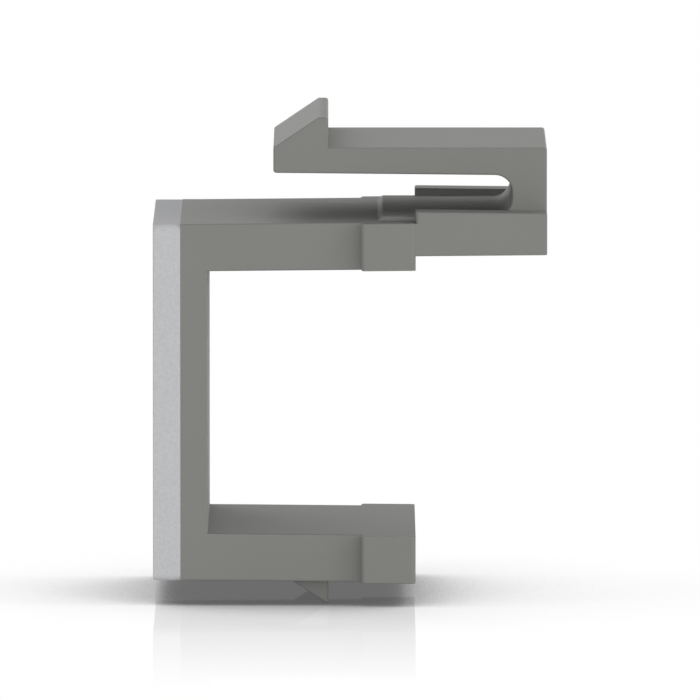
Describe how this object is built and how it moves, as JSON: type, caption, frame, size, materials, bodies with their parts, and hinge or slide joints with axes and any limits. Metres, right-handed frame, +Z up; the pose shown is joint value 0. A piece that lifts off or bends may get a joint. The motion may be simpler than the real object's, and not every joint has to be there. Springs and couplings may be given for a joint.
{
  "type": "blank keystone insert",
  "caption": "One-piece snap-in blank for an unused keystone opening: a flat front plate, two short arms with shoulder pads, a fixed tooth below and a sprung latch above.",
  "frame": {"origin": "centre of the flat front face", "axes": "+X from the front face back into the wall, +Y across the width, +Z up towards the latch"},
  "size_m": [0.018, 0.016, 0.0223],
  "materials": {
    "moulding": "one grey plastic: smooth satin all over, with a lighter, fine spark-textured rim round the front face"
  },
  "bodies": {
    "root": {"blank_insert": "moulding"}
  },
  "joints": []
}
